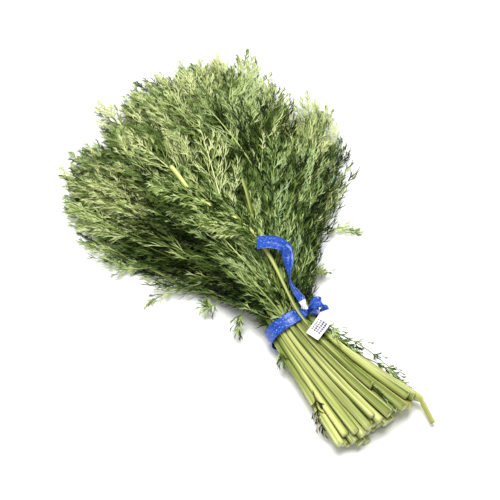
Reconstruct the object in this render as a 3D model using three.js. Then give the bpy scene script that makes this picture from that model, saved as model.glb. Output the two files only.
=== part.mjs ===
// A bunch of fresh dill, lying down. The sprigs run side by side through a wired ribbon, splay a
// little towards their cut ends and open into a wide, low fan of foliage on the other side.
// Millimetres. +Y runs along the bunch from the cut ends to the leaf tips, +Z is up.
import * as THREE from 'three';
import { LoftGeometry } from 'three/addons/geometries/LoftGeometry.js';

// The ribbon
const ribbonWidth = 12.7;
const ribbonThick = 0.6;
const ribbonRoom = 0.4; // between the stems and the ribbon, and between neighbouring pieces
const ribbonLift = 0.8; // what is left under the ribbon, above the surface
const knotWidth = 3.4; // the ribbon is bunched up where its ends are twisted together

// The bundle where the ribbon holds it
const stemAtTie = 5.2; // diameter
const stemGap = 0.5; // between neighbouring stems
const stemsInRows = [3, 6, 7, 8, 7, 6, 3]; // from the lowest row to the highest
const ovalWidth = 8.6; // of the oval around them, in stems side by side
const ovalHeight = 6.58;
const stemPitch = stemAtTie + stemGap;
const tieWidth = ovalWidth * stemPitch;
const tieHeight = ovalHeight * stemPitch;
const tieLift = ribbonLift + ribbonThick + 2 * ribbonRoom;

// The cut ends
const stemAtCut = 7.4; // diameter
const cutLength = 121; // from the tie to the cut ends
const cutUneven = 5; // how much a cut end may stand in front of or behind the rest
const cutSlant = 14; // the cut ends on the right stop this much before those on the left
const cutWidth = 106;
const cutStemsHigh = 5.2; // height of the cut ends together, in stems
const cutHeight = cutStemsHigh * stemAtCut;
const cutSink = 2.2; // presses the lowest stems onto the surface
const bundleTwist = 0.12; // radians from the tie to the cut ends
const brokenShort = 30; // how far the broken stem stops before the others

// The foliage
const leafStart = 26; // the bare stretch after the tie
const leafReach = 282; // from the tie to the furthest tips
const fanAngle = 46 * Math.PI / 180; // direction of the outermost sprigs
const fanBend = 60; // the stretch in which the sprigs turn outwards
const pileHeight = 66;
const pileRise = 110; // the stretch in which the pile grows to its height
const tipHeight = 34; // of the pile at the leaf tips
const pilePress = 0.12; // share of the pile's half height by which it is pressed onto the surface
const shortRim = 0.57; // share of the reach that the outermost sprigs lack
const shortTop = 0.14; // share of the reach that the topmost sprigs lack
const tipUneven = 0.1; // share of the reach by which the tips differ
const lopsided = 0.07; // share of the reach by which the left edge goes further and the right edge less
const dipDeep = 0.15; // share of the reach that is missing in a dip in the outline
const dipAt = 0.5; // the middle of the dip, from 0 in the middle of the fan to 1 at its right edge
const dipWide = 0.27;
const frondNotch = 0.55; // width of a frond between two leaves, as a share of its full width
const tipNarrow = 0.1; // width of a frond at its tip
const frondSwell = 0.3; // share of its length in which a frond widens
const frondTaper = 0.5; // share of its length in which it narrows to its tip
const frondFill = 0.92; // share of the room between its neighbours that a frond fills

// The bend of the whole bunch at the tie, as a sideways slope on each side
const cutSlope = 0.222;
const leafSlope = 0.1;
const bendLength = 26;

// Pieces that differ from the ordinary sprig
const toplessReach = 133; // a stem whose leafy top was cut off, from the tie
const toplessDrift = 0.085; // how far it leaves its place towards the right
const driftStart = 20;
const driftLength = 100;
const bentTail = 26; // the bent end of one stem
const bentAhead = 8; // how far that stem reaches past its own place among the cut ends
const bentThin = 0.8; // its thickness there, as a share

// The loose sprig on top lies across the pile, with leaves in its middle and a cut end at its tip.
const looseStart = 14; // it begins this far behind the ribbon's middle
const looseReach = 186;
const looseLeaves = 92; // where its leaves begin
const looseBare = 170; // and where they end
const looseAt = 0.17; // its place across the bundle
const looseDrift = -0.48;
const looseDriftStart = 10;
const looseDriftLength = 145;

// The sections of all pieces lie at the same distances from the tie, so that neighbours stay apart.
const ringSides = 6;
const tieStep = 8; // next to the tie
const stemStep = 25; // towards the cut ends
const bendStep = 15; // where the sprigs bend outwards
const frondStep = 22; // along the fronds
const leafGreen = new THREE.Color('#5f7a35');
const stemGreen = new THREE.Color('#b3bf72');
const ribbonBlue = new THREE.Color('#2350b8');

function stationsOfAll() {
  const stations = [-tieStep, 0, tieStep];
  for (let s = -stemStep; s > -cutLength - cutUneven; s -= stemStep) stations.unshift(s);
  for (let s = tieStep + bendStep; s < leafReach; s += s < fanBend ? bendStep : frondStep) stations.push(s);
  return stations;
}

const commonStations = stationsOfAll();

// A number from 0 to 1 that belongs to a piece and a purpose, always the same.
function chance(piece, purpose) {
  const wave = Math.sin(piece * 12.9898 + purpose * 78.233) * 43758.5453;
  return wave - Math.floor(wave);
}

function smooth(t) {
  const c = Math.min(1, Math.max(0, t));
  return c * c * (3 - 2 * c);
}

// Half the width of the bunch at distance s from the tie, and how fast it grows, which is also the
// direction in radians in which its outermost piece runs.
function spread(s) {
  if (s < 0) {
    const grow = (cutWidth - tieWidth) / 2;
    const t = Math.min(1, -s / cutLength);
    return { half: tieWidth / 2 + grow * t ** 1.3, turn: -1.3 * grow / cutLength * t ** 0.3 };
  }
  const t = Math.min(1, s / fanBend);
  const bent = fanBend * (t ** 3 - t ** 4 / 2);
  const straight = Math.max(0, s - fanBend);
  return { half: tieWidth / 2 + fanAngle * (bent + straight), turn: fanAngle * smooth(t) };
}

// Half the height of the bunch at distance s from the tie
function halfHeight(s) {
  if (s < 0) return (tieHeight + (cutHeight - tieHeight) * smooth(-s / cutLength)) / 2;
  const rise = (pileHeight - tieHeight) * smooth(s / pileRise);
  const fallLength = leafReach - pileRise;
  const fall = (pileHeight - tipHeight) * smooth((s - pileRise) / fallLength);
  return (tieHeight + rise - fall) / 2;
}

// How far the bunch as a whole is lifted off the surface, or pressed onto it
function lift(s) {
  if (s < 0) return tieLift - (tieLift + cutSink) * smooth(-s / cutLength * 1.4);
  return tieLift - (tieLift + pilePress * halfHeight(s)) * smooth(s / pileRise);
}

// How far the middle of the bunch lies to the side
function sideways(s) {
  const away = Math.hypot(s, bendLength) - bendLength;
  return away * (s < 0 ? cutSlope : leafSlope);
}

// The point of the bunch at (u, v), each from -1 to 1 across the bundle, and s along it. The bundle
// is oval, and the pile of foliage is flat below and domed above. Every section of constant s is
// an arc seen from above, so that pieces at different (u, v) never meet.
function place(u, v, s) {
  const angle = bundleTwist * Math.min(0, s) / cutLength;
  const across = u * Math.cos(angle) - v * Math.sin(angle);
  const up = u * Math.sin(angle) + v * Math.cos(angle);
  const { half, turn } = spread(s);
  const bow = Math.abs(turn) < 1e-6 ? 1e-6 : turn;
  const column = Math.sqrt(Math.max(0.03, 1 - across ** 2));
  const level = (1 + up) + (column * (column + up) - (1 + up)) * smooth(s / pileRise);
  return new THREE.Vector3(
    sideways(s) + half * Math.sin(across * bow) / bow,
    s + half * (Math.cos(across * bow) - 1) / bow,
    Math.max(0, lift(s) + halfHeight(s) * level),
  );
}

// One ring of a piece around (u, v) at s, with its half width and half height as shares of the
// bundle. Left and right scale its two side points.
function ring(u, v, s, wide, high, left = 1, right = 1) {
  const points = [];
  for (let i = 0; i < ringSides; i += 1) {
    const angle = i / ringSides * 2 * Math.PI;
    const side = Math.cos(angle) > 0 ? right : left;
    const reach = Math.abs(Math.sin(angle)) < 0.1 ? side : 1;
    points.push(place(u + wide * reach * Math.cos(angle), v + high * Math.sin(angle), s));
  }
  return points;
}

function solid(sections) {
  return new LoftGeometry(sections.map((points) => points.toReversed()), { capStart: true, capEnd: true });
}

const pitchAcross = stemPitch / (tieWidth / 2); // shares of the bundle between neighbours
const pitchUp = stemPitch * Math.sqrt(3) / 2 / (tieHeight / 2);

function stemRadius(s) {
  return (stemAtTie + (stemAtCut - stemAtTie) * smooth(-s / cutLength)) / 2;
}

// A sprig is a stem from its cut end to where its leaves begin, and then a long flat frond that
// widens into its share of the fan and narrows to its tip, or back to a bare piece of stem.
function sprigSections(sprig) {
  const leavesEnd = sprig.bareFrom ?? sprig.to;
  const least = 8;
  const inner = commonStations.filter((s) => s > sprig.from + least && s < sprig.to - least);
  const stations = [sprig.from, ...inner, sprig.to];
  return stations.map((s, k) => {
    const { half } = spread(s);
    const stemWide = stemRadius(s) / half;
    const stemHigh = stemRadius(s) / halfHeight(s);
    const t = (s - sprig.leaves) / (leavesEnd - sprig.leaves);
    const u = sprig.u + (sprig.drift ?? 0) * smooth((s - sprig.driftStart) / sprig.driftLength);
    const v = sprig.v - (sprig.settles ?? 0) * smooth(s / pileRise);
    if (sprig.bare || t <= 0 || t > 1) return ring(u, v, s, stemWide, stemHigh);
    const swell = smooth(t / frondSwell);
    const taper = 1 - (1 - tipNarrow) * smooth((t - 1 + frondTaper) / frondTaper);
    const thinnest = sprig.bareFrom ? 1 : 0;
    const frondWide = Math.max(frondFill * pitchAcross / 2 * taper, thinnest * stemWide);
    const frondHigh = Math.max(frondFill * pitchUp / 2 * taper, thinnest * stemHigh);
    const notch = 1 - (1 - frondNotch) * swell * (t < 1 ? 1 : 0);
    return ring(
      u,
      v,
      s,
      stemWide + (frondWide - stemWide) * swell,
      stemHigh + (frondHigh - stemHigh) * swell,
      k % 2 ? notch : 1,
      k % 2 ? 1 : notch,
    );
  });
}

// The places of the stems: rows of a close packing, each row shifted by half a stem
function stemPlaces() {
  const places = [];
  stemsInRows.forEach((count, row) => {
    for (let column = 0; column < count; column += 1) {
      const u = (column - (count - 1) / 2) * pitchAcross;
      const v = (row - (stemsInRows.length - 1) / 2) * pitchUp;
      places.push({ u, v });
    }
  });
  return places;
}

// How far the leaf tips reach at u, as a share of the furthest ones
function outline(u) {
  const dip = dipDeep * Math.max(0, 1 - ((u - dipAt) / dipWide) ** 2);
  return 1 - shortRim * u ** 4 - lopsided * u - dip;
}

// In the top row, the middle stem has lost its leafy top and the last one is broken off short.
function describeSprigs() {
  const places = stemPlaces();
  const topCount = stemsInRows.at(-1);
  const topless = places.length - 1 - Math.floor(topCount / 2);
  const broken = places.length - 1;
  const bent = places.findLastIndex((place) => place.v === 0);
  return places.map(({ u, v }, k) => {
    const top = 1 - shortTop * Math.max(0, v);
    const uneven = (chance(k, 1) - 0.5) * 2 * cutUneven;
    const ahead = k === bent ? bentAhead : 0;
    const short = k === broken ? brokenShort : 0;
    const bare = k === topless;
    return {
      u,
      v,
      bare,
      drift: bare ? toplessDrift : 0,
      driftStart,
      driftLength,
      bent: k === bent,
      from: -cutLength + uneven + cutSlant * (u + 1) / 2 + short - ahead,
      to: bare ? toplessReach : leafReach * outline(u) * top * (1 - tipUneven * chance(k, 2)),
      leaves: leafStart * (0.7 + 0.6 * chance(k, 3)),
    };
  });
}

function addMesh(group, name, geometry, color, roughness) {
  const material = new THREE.MeshStandardMaterial({ color, roughness, metalness: 0 });
  const mesh = new THREE.Mesh(geometry, material);
  mesh.name = name;
  group.add(mesh);
}

function shade(base, k) {
  return base.clone().offsetHSL((chance(k, 4) - 0.5) * 0.03, 0, (chance(k, 5) - 0.5) * 0.08);
}

function twoDigits(k) {
  return String(k).padStart(2, '0');
}

function addSprigs(group) {
  const sprigs = describeSprigs();
  let leafy = 0;
  sprigs.forEach((sprig, k) => {
    const sections = sprigSections(sprig);
    if (sprig.bent) sections.unshift(...bentEnd(sections[0]));
    leafy += sprig.bare ? 0 : 1;
    const name = sprig.bare ? 'topless_stem' : `sprig_${twoDigits(leafy)}`;
    addMesh(group, name, solid(sections), shade(sprig.bare ? stemGreen : leafGreen, k), 0.6);
  });
}

// The end of one outer stem is creased and hangs off straight back, down to the surface.
function bentEnd(first) {
  const middle = first.reduce((sum, p) => sum.add(p), new THREE.Vector3()).divideScalar(first.length);
  const drop = middle.z - stemAtCut / 2;
  const steps = [1, 0.5];
  return steps.map((share) => first.map((p) => new THREE.Vector3(
    middle.x + (p.x - middle.x) * bentThin,
    p.y - bentTail * share,
    middle.z + (p.z - middle.z) * bentThin - drop * share,
  )));
}

// The loose sprig lies over the ribbon: it starts just behind it and settles onto the pile.
function addTopSprig(group) {
  const ribbonTop = tieHeight / 2 + 2 * ribbonRoom + ribbonThick;
  const overRibbon = (ribbonTop + stemAtTie / 2) / (tieHeight / 2);
  const topRow = Math.max(...stemPlaces().map((place) => place.v));
  const sprig = {
    u: looseAt,
    drift: looseDrift,
    driftStart: looseDriftStart,
    driftLength: looseDriftLength,
    v: overRibbon,
    settles: overRibbon - topRow - pitchUp * 1.1,
    bare: false,
    from: -looseStart,
    to: looseReach,
    leaves: looseLeaves,
    bareFrom: looseBare,
  };
  addMesh(group, 'sprig_over_tie', solid(sprigSections(sprig)), shade(leafGreen, 99), 0.6);
}

// The ribbon's middle line: from its label end, curled over to the twist, round the bundle, and
// from the twist along its other end, which is turned over once and lies on the foliage.
// Each stop has a place, the direction of the ribbon's width there and how wide it lies.
function ribbonStops() {
  const top = tieLift + tieHeight + ribbonRoom;
  const stops = [];
  const stop = (x, y, z, wx, wy, wz, wide = ribbonWidth) => {
    stops.push({ at: new THREE.Vector3(x, y, z), across: new THREE.Vector3(wx, wy, wz), wide });
  };
  stop(2.9, -25.1, top + 2.4, 0.05, -1, 0);
  stop(9, -22.4, top + 3.6, 0.1, -1, -0.03);
  stop(15.3, -19.4, top + 4.4, 0.15, -1, -0.08);
  stop(20.4, -16, top + 5.2, 0.2, -1, -0.2);
  stop(24, -11.6, top + 7.2, 0.3, -0.9, -0.35);
  stop(25, -7.5, top + 10.2, 0.4, -0.8, -0.5);
  stop(22.6, -4.6, top + 12.6, 0.35, -0.9, -0.3);
  stop(18.6, -3.4, top + 11.4, 0.2, -1, -0.1, 11);
  stop(15.2, -2.4, top + 7.4, 0.1, -1, 0, 7);
  stop(13.8, -2, top + 2.6, 0.1, -1, 0, knotWidth);
  const middleX = tieWidth / 2 + ribbonRoom + ribbonThick;
  const middleZ = tieHeight / 2 + ribbonRoom + ribbonThick;
  const turns = 14;
  const fromAngle = 56;
  const toAngle = -292;
  for (let i = 0; i <= turns; i += 1) {
    const angle = THREE.MathUtils.degToRad(fromAngle + (toAngle - fromAngle) * i / turns);
    const wide = i === 0 || i === turns ? (knotWidth + ribbonWidth) / 2 : ribbonWidth;
    stop(middleX * Math.cos(angle), 0, tieLift + tieHeight / 2 + middleZ * Math.sin(angle), 0, -1, 0, wide);
  }
  stop(11.4, 4.2, top + 3.4, 0.6, -0.8, 0, knotWidth);
  stop(11.6, 9.5, top + 6, 0.75, 0.1, -0.45, 10);
  stop(10.6, 16.6, top + 9.5, 0.65, 0.45, -0.5);
  stop(10, 23, top + 13, 0.5, 0.3, -0.8);
  stop(12.6, 30, top + 16.5, 0, 0, -1);
  stop(17.4, 38, top + 19.5, -0.6, 0.4, -0.7);
  stop(20.6, 46, top + 23.5, -0.8, 0.55, -0.2);
  stop(18.6, 51.5, top + 27.4, -0.75, -0.66, 0);
  stop(13, 56.8, top + 29, -0.62, -0.78, 0.05);
  stop(6.4, 61.2, top + 28.8, -0.55, -0.83, 0.05);
  stop(-0.5, 65, top + 27.4, -0.52, -0.85, 0.05);
  return stops;
}

function ribbonSolid() {
  const stops = ribbonStops();
  const path = new THREE.CatmullRomCurve3(stops.map((s) => s.at), false, 'centripetal');
  const perStop = 2;
  const count = (stops.length - 1) * perStop;
  const sections = [];
  for (let i = 0; i <= count; i += 1) {
    const t = i / count;
    const at = path.getPoint(t);
    const along = path.getTangent(t);
    const low = Math.min(stops.length - 2, Math.floor(i / perStop));
    const mix = i / perStop - low;
    const wanted = stops[low].across.clone().lerp(stops[low + 1].across, mix);
    const across = wanted.addScaledVector(along, -wanted.dot(along)).normalize();
    const face = along.clone().cross(across);
    const wide = stops[low].wide + (stops[low + 1].wide - stops[low].wide) * mix;
    const corners = [[1, 1], [-1, 1], [-1, -1], [1, -1]];
    sections.push(corners.map(([a, b]) => at.clone()
      .addScaledVector(across, a * wide / 2)
      .addScaledVector(face, b * ribbonThick / 2)));
  }
  return new LoftGeometry(sections, { capStart: true, capEnd: true });
}

function buildBunch() {
  const bunch = new THREE.Group();
  addSprigs(bunch);
  addTopSprig(bunch);
  addMesh(bunch, 'tie_ribbon', ribbonSolid(), ribbonBlue, 0.4);
  // The part's origin is on the surface it lies on, under the middle of its outline.
  const box = new THREE.Box3().setFromObject(bunch);
  const middle = box.getCenter(new THREE.Vector3());
  bunch.position.set(-middle.x, -middle.y, -box.min.z);
  return bunch;
}

export default buildBunch();
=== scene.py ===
import math

import bpy
import numpy as np
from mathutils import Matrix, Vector


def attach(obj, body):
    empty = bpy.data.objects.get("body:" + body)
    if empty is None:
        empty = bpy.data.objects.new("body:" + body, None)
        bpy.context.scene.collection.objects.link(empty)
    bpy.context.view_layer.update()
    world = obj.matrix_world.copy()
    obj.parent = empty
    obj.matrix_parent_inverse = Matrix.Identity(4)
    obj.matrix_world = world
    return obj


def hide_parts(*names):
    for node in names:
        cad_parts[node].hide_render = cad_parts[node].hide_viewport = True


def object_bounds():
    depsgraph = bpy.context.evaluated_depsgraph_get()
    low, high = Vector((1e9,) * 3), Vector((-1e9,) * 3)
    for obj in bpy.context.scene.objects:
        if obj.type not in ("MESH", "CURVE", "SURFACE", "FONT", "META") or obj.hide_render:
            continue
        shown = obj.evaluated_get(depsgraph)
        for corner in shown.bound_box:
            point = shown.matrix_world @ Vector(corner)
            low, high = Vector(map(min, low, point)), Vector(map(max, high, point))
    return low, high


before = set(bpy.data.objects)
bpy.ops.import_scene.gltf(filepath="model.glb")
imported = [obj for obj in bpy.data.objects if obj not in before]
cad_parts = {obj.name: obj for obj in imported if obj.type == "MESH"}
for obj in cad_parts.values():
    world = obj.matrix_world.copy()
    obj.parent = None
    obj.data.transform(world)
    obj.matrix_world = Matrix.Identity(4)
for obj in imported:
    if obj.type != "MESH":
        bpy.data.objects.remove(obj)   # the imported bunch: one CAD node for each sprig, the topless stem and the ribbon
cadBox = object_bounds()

print("bunch of dill: frame loaded")

# Everything is worked out in millimetres around the point where the ribbon holds the bunch, in the
# same layout as the CAD part, and put into metres and into the frame when a mesh is made.
bunch = {
    "stemAtTie": 5.2, "stemGap": 0.5, "stemsInRows": [3, 6, 7, 8, 7, 6, 3],
    "ovalWidth": 8.6, "ovalHeight": 6.58, "tieLift": 2.2,
    "stemAtCut": 7.4, "cutLength": 121, "cutUneven": 5, "cutSlant": 14, "cutWidth": 106,
    "cutStemsHigh": 5.2, "cutSink": 2.2, "bundleTwist": 0.12, "brokenShort": 30,
    "leafStart": 26, "leafReach": 282, "fanAngle": math.radians(46), "fanBend": 60,
    "pileHeight": 66, "pileRise": 110, "tipHeight": 34, "pilePress": 0.12,
    "shortRim": 0.57, "shortTop": 0.14, "tipUneven": 0.1,
    "lopsided": 0.07, "dipDeep": 0.15, "dipAt": 0.5, "dipWide": 0.27,
    "cutSlope": 0.222, "leafSlope": 0.1, "bendLength": 26,
    "toplessReach": 133, "toplessDrift": 0.085, "driftStart": 20, "driftLength": 100,
    "bentTail": 26, "bentAhead": 8, "bentThin": 0.8,
    "looseStart": 14, "looseReach": 186, "looseLeaves": 92, "looseBare": 170,
    "looseAt": 0.17, "looseDrift": -0.48, "looseDriftStart": 10, "looseDriftLength": 145,
    "ribbonThick": 0.6, "ribbonRoom": 0.4, "ribbonWidth": 12.7, "knotWidth": 3.4,
}
stemPitch = bunch["stemAtTie"] + bunch["stemGap"]
tieWidth = bunch["ovalWidth"] * stemPitch
tieHeight = bunch["ovalHeight"] * stemPitch
cutHeight = bunch["cutStemsHigh"] * bunch["stemAtCut"]
pitchAcross = 2 * stemPitch / tieWidth
pitchUp = stemPitch * math.sqrt(3) / tieHeight


def chance(piece, purpose):
    wave = math.sin(piece * 12.9898 + purpose * 78.233) * 43758.5453   # a fixed number from 0 to 1
    return wave - math.floor(wave)


def smooth(t):   # from 0 to 1 with level ends: 3 t squared less 2 t cubed
    c = np.clip(t, 0, 1)
    return c * c * (3 - 2 * c)


def unit(a):   # each vector over its own length
    return a / np.maximum(np.linalg.norm(a, axis=-1, keepdims=True), 1e-9)


# Half width of the bunch at s, and the direction in radians of its outermost piece: behind the tie
# it splays with the power 1.3 of the distance, past it the turn grows smoothly and then stays.
def spread(s):
    grow = (bunch["cutWidth"] - tieWidth) / 2
    back = np.clip(-s / bunch["cutLength"], 0, 1)
    t = np.clip(s / bunch["fanBend"], 0, 1)
    bent = bunch["fanBend"] * (t ** 3 - t ** 4 / 2)
    straight = np.maximum(0, s - bunch["fanBend"])
    fan = bunch["fanAngle"]
    half = tieWidth / 2 + np.where(s < 0, grow * back ** 1.3, fan * (bent + straight))
    turn = np.where(s < 0, -1.3 * grow / bunch["cutLength"] * back ** 0.3, fan * smooth(t))
    return half, turn


# Half height of the bunch at s: it eases from the cut ends to the tie, up to the pile's full height
# and down to its tips.
def halfHeight(s):
    back = (cutHeight - tieHeight) * smooth(-s / bunch["cutLength"])
    rise = (bunch["pileHeight"] - tieHeight) * smooth(s / bunch["pileRise"])
    fallLength = bunch["leafReach"] - bunch["pileRise"]
    fall = (bunch["pileHeight"] - bunch["tipHeight"]) * smooth((s - bunch["pileRise"]) / fallLength)
    return (tieHeight + back + rise - fall) / 2


# How far the bunch is held off the floor at s: lifted at the tie, pressed into the floor elsewhere.
def lift(s):
    tie = bunch["tieLift"]
    back = (tie + bunch["cutSink"]) * smooth(-s / bunch["cutLength"] * 1.4)
    ahead = (tie + bunch["pilePress"] * halfHeight(s)) * smooth(s / bunch["pileRise"])
    return tie - back - ahead


# The point of the bunch at (u, v) across it and s along it. A section is an oval behind the tie and
# a flat-based dome past it, bowed so that each piece crosses its sections squarely.
def place(u, v, s):
    s = np.asarray(s, float)
    angle = bunch["bundleTwist"] * np.minimum(0, s) / bunch["cutLength"]
    across = u * np.cos(angle) - v * np.sin(angle)
    up = u * np.sin(angle) + v * np.cos(angle)
    half, turn = spread(s)
    bow = np.where(np.abs(turn) < 1e-6, 1e-6, turn)
    column = np.sqrt(np.maximum(0.03, 1 - across ** 2))
    level = (1 + up) + (column * (column + up) - (1 + up)) * smooth(s / bunch["pileRise"])
    away = np.hypot(s, bunch["bendLength"]) - bunch["bendLength"]
    x = away * np.where(s < 0, bunch["cutSlope"], bunch["leafSlope"]) + half * np.sin(across * bow) / bow
    y = s + half * (np.cos(across * bow) - 1) / bow
    z = np.maximum(0, lift(s) + halfHeight(s) * level)
    return np.stack([x, y, z], -1)


# The reach of the sprigs across the fan, as a share of the longest: it falls with the fourth power
# of u, leans to one side, and has one dip shaped as a parabola.
def outline(u):
    dip = bunch["dipDeep"] * max(0, 1 - ((u - bunch["dipAt"]) / bunch["dipWide"]) ** 2)
    return 1 - bunch["shortRim"] * u ** 4 - bunch["lopsided"] * u - dip


# One description for each stem that the ribbon holds, row by row from below, and one for the loose
# sprig on top. Its place across the bunch is (u, v), and it drifts sideways and settles along s.
def describeSprigs():
    counts = bunch["stemsInRows"]
    places = [((column - (count - 1) / 2) * pitchAcross, (row - (len(counts) - 1) / 2) * pitchUp)
              for row, count in enumerate(counts) for column in range(count)]
    broken = len(places) - 1
    topless = broken - counts[-1] // 2
    bent = max(k for k, (u, v) in enumerate(places) if v == 0)
    sprigs = []
    leafy = 0
    for k, (u, v) in enumerate(places):
        bare = k == topless
        leafy += 0 if bare else 1
        reach = bunch["leafReach"] * outline(u) * (1 - bunch["shortTop"] * max(0, v))
        reach *= 1 - bunch["tipUneven"] * chance(k, 2)
        start = -bunch["cutLength"] + (chance(k, 1) - 0.5) * 2 * bunch["cutUneven"]
        start += bunch["cutSlant"] * (u + 1) / 2
        start += bunch["brokenShort"] * (k == broken) - bunch["bentAhead"] * (k == bent)
        sprigs.append({
            "node": "topless_stem" if bare else f"sprig_{leafy:02d}", "seed": k, "u": u, "v": v,
            "bare": bare, "broken": k == broken, "bent": k == bent, "loose": False,
            "drift": bunch["toplessDrift"] * bare, "driftStart": bunch["driftStart"],
            "driftLength": bunch["driftLength"], "settles": 0, "lifts": stemShape["stubLifts"] * bare,
            "from": start, "to": bunch["toplessReach"] if bare else reach,
            "leaves": bunch["leafStart"] * (0.7 + 0.6 * chance(k, 3)),
        })
    ribbonTop = tieHeight / 2 + 2 * bunch["ribbonRoom"] + bunch["ribbonThick"]
    overRibbon = (ribbonTop + bunch["stemAtTie"] / 2) / (tieHeight / 2)
    sprigs.append({
        "node": "sprig_over_tie", "seed": 99, "u": bunch["looseAt"], "v": overRibbon,
        "bare": False, "broken": False, "bent": False, "loose": True,
        "drift": bunch["looseDrift"], "driftStart": bunch["looseDriftStart"],
        "driftLength": bunch["looseDriftLength"],
        "settles": overRibbon - places[-1][1] - pitchUp * 1.1, "lifts": stemShape["lifts"],
        "from": -bunch["looseStart"], "to": bunch["looseReach"],
        "leaves": bunch["looseLeaves"], "leavesEnd": bunch["looseBare"],
    })
    return sprigs


stemShape = {
    "ribs": 9, "ribDepth": 0.06, "sides": 18, "rings": 72,
    "topThick": 1.4, "thinBy": 120, "uneven": 0.3,
    "wave": 3.0, "waveFrom": 30, "waveLength": 160,
    "joint": 0.13, "jointLong": 4.0,          # where a leaf once clasped the stem
    "lifts": 7.0, "stubLifts": 16.0,          # cut ends among the leaves rise to show above them
    "liftFrom": 55, "liftLength": 45, "endsEarly": 8,
    "arch": 5.0, "archAt": 84, "archWide": 16,   # the loose sprig's bare piece rises a little too
    "tailShare": 0.78, "tailThin": 0.8,       # of the bent end's length and thickness
    "yellow": ["sprig_30", "sprig_23"],
}
sprigs = describeSprigs()


# Where the tie lies in the frame: the cut ring of one plain stem against the layout's own point.
def findTie():
    stem = next(sprig for sprig in sprigs if sprig["bare"])
    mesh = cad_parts[stem["node"]].data
    corners = np.zeros(len(mesh.vertices) * 3)
    mesh.vertices.foreach_get("co", corners)
    corners = corners.reshape(-1, 3)
    ring = corners[corners[:, 1] < corners[:, 1].min() + 0.003]
    ring = np.unique(ring.round(6), axis=0)
    return ring.mean(0) * 1000 - place(stem["u"], stem["v"], stem["from"])


tie = findTie()
tie[2] = 0
print("tie at", tie.round(2), "mm")


# A shape is its points, its faces as corner lists of one length each, and a UV for each corner.
def tubes(line, radius, sides, uv, pointed=False, ribs=0, ribDepth=0.0, turn=0.0):
    # Each of n lines (n, k, 3) carries a ring of `sides` points square to it, with the radius (n, k)
    # times 1 + ribDepth cos(ribs angle). The last ring is one point where the tube is pointed.
    n, k, _ = line.shape
    along = unit(np.gradient(line, axis=1))
    reference = np.array([0.0, 0.0, 1.0]) + 0.3 * along[:, :1, [1, 2, 0]]
    side = unit(np.cross(along, np.broadcast_to(unit(reference), along.shape)))
    up = np.cross(side, along)
    angle = np.arange(sides) / sides * 2 * np.pi + turn
    reach = radius[..., None] * (1 + ribDepth * np.cos(ribs * angle))
    ring = line[:, :, None] + reach[..., None] * (
        np.cos(angle)[:, None] * side[:, :, None] + np.sin(angle)[:, None] * up[:, :, None])
    rings = k - 1 if pointed else k
    points = ring[:, :rings].reshape(n, rings * sides, 3)
    if pointed:
        points = np.concatenate([points, line[:, -1:]], 1)
    perLine = points.shape[1]
    start = (np.arange(n) * perLine)[:, None, None]
    i, j = np.meshgrid(np.arange(rings - 1), np.arange(sides), indexing="ij")
    after = (j + 1) % sides
    here, ahead = i * sides, (i + 1) * sides
    quads = np.stack([here + j, ahead + j, ahead + after, here + after], -1)
    quads = (start + quads.reshape(1, -1, 4)).reshape(-1, 4)
    uFrom, uTo, vFrom, vTo = (np.broadcast_to(np.asarray(a, float), (n,)) for a in uv)
    share = np.linspace(0, 1, k)

    def spot(a, b):   # the UV at ring a and side b, for each line
        u = uFrom[:, None] + (uTo - uFrom)[:, None] * b.ravel()[None] / sides
        v = vFrom[:, None] + (vTo - vFrom)[:, None] * share[a.ravel()][None]
        return np.stack([u, v], -1)

    quadUv = np.stack([spot(i, j), spot(i + 1, j), spot(i + 1, j + 1), spot(i, j + 1)], 2)
    faces = [(quads, quadUv.reshape(-1, 4, 2))]
    ringSides = np.arange(sides)
    first = start[:, :, 0] + ringSides[None]
    firstUv = spot(np.zeros(sides, int), ringSides)
    firstUv[..., 1] += 0.004 * (ringSides % 2)
    faces.append((first, firstUv))
    if pointed:
        top = (rings - 1) * sides
        tip = np.full(sides, perLine - 1)
        fan = np.stack([top + ringSides, tip, top + (ringSides + 1) % sides], -1)
        fan = (start + fan[None]).reshape(-1, 3)
        ends = np.full(sides, rings - 1)
        fanUv = np.stack([spot(ends, ringSides), spot(ends + 1, ringSides), spot(ends, ringSides + 1)], 2)
        faces.append((fan, fanUv.reshape(-1, 3, 2)))
    else:
        last = start[:, :, 0] + (rings - 1) * sides + ringSides[::-1][None]
        lastUv = spot(np.full(sides, k - 1), ringSides[::-1])
        lastUv[..., 1] -= 0.004 * (ringSides % 2)
        faces.append((last, lastUv))
    return points.reshape(-1, 3), faces


# One shape from many: the corner numbers of each are moved up by the points before it.
def joinShapes(shapes):
    points = []
    faces = []
    count = 0
    for shapePoints, shapeFaces in shapes:
        points.append(shapePoints)
        faces += [(corner + count, uv) for corner, uv in shapeFaces]
        count += len(shapePoints)
    return np.concatenate(points), faces


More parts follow.
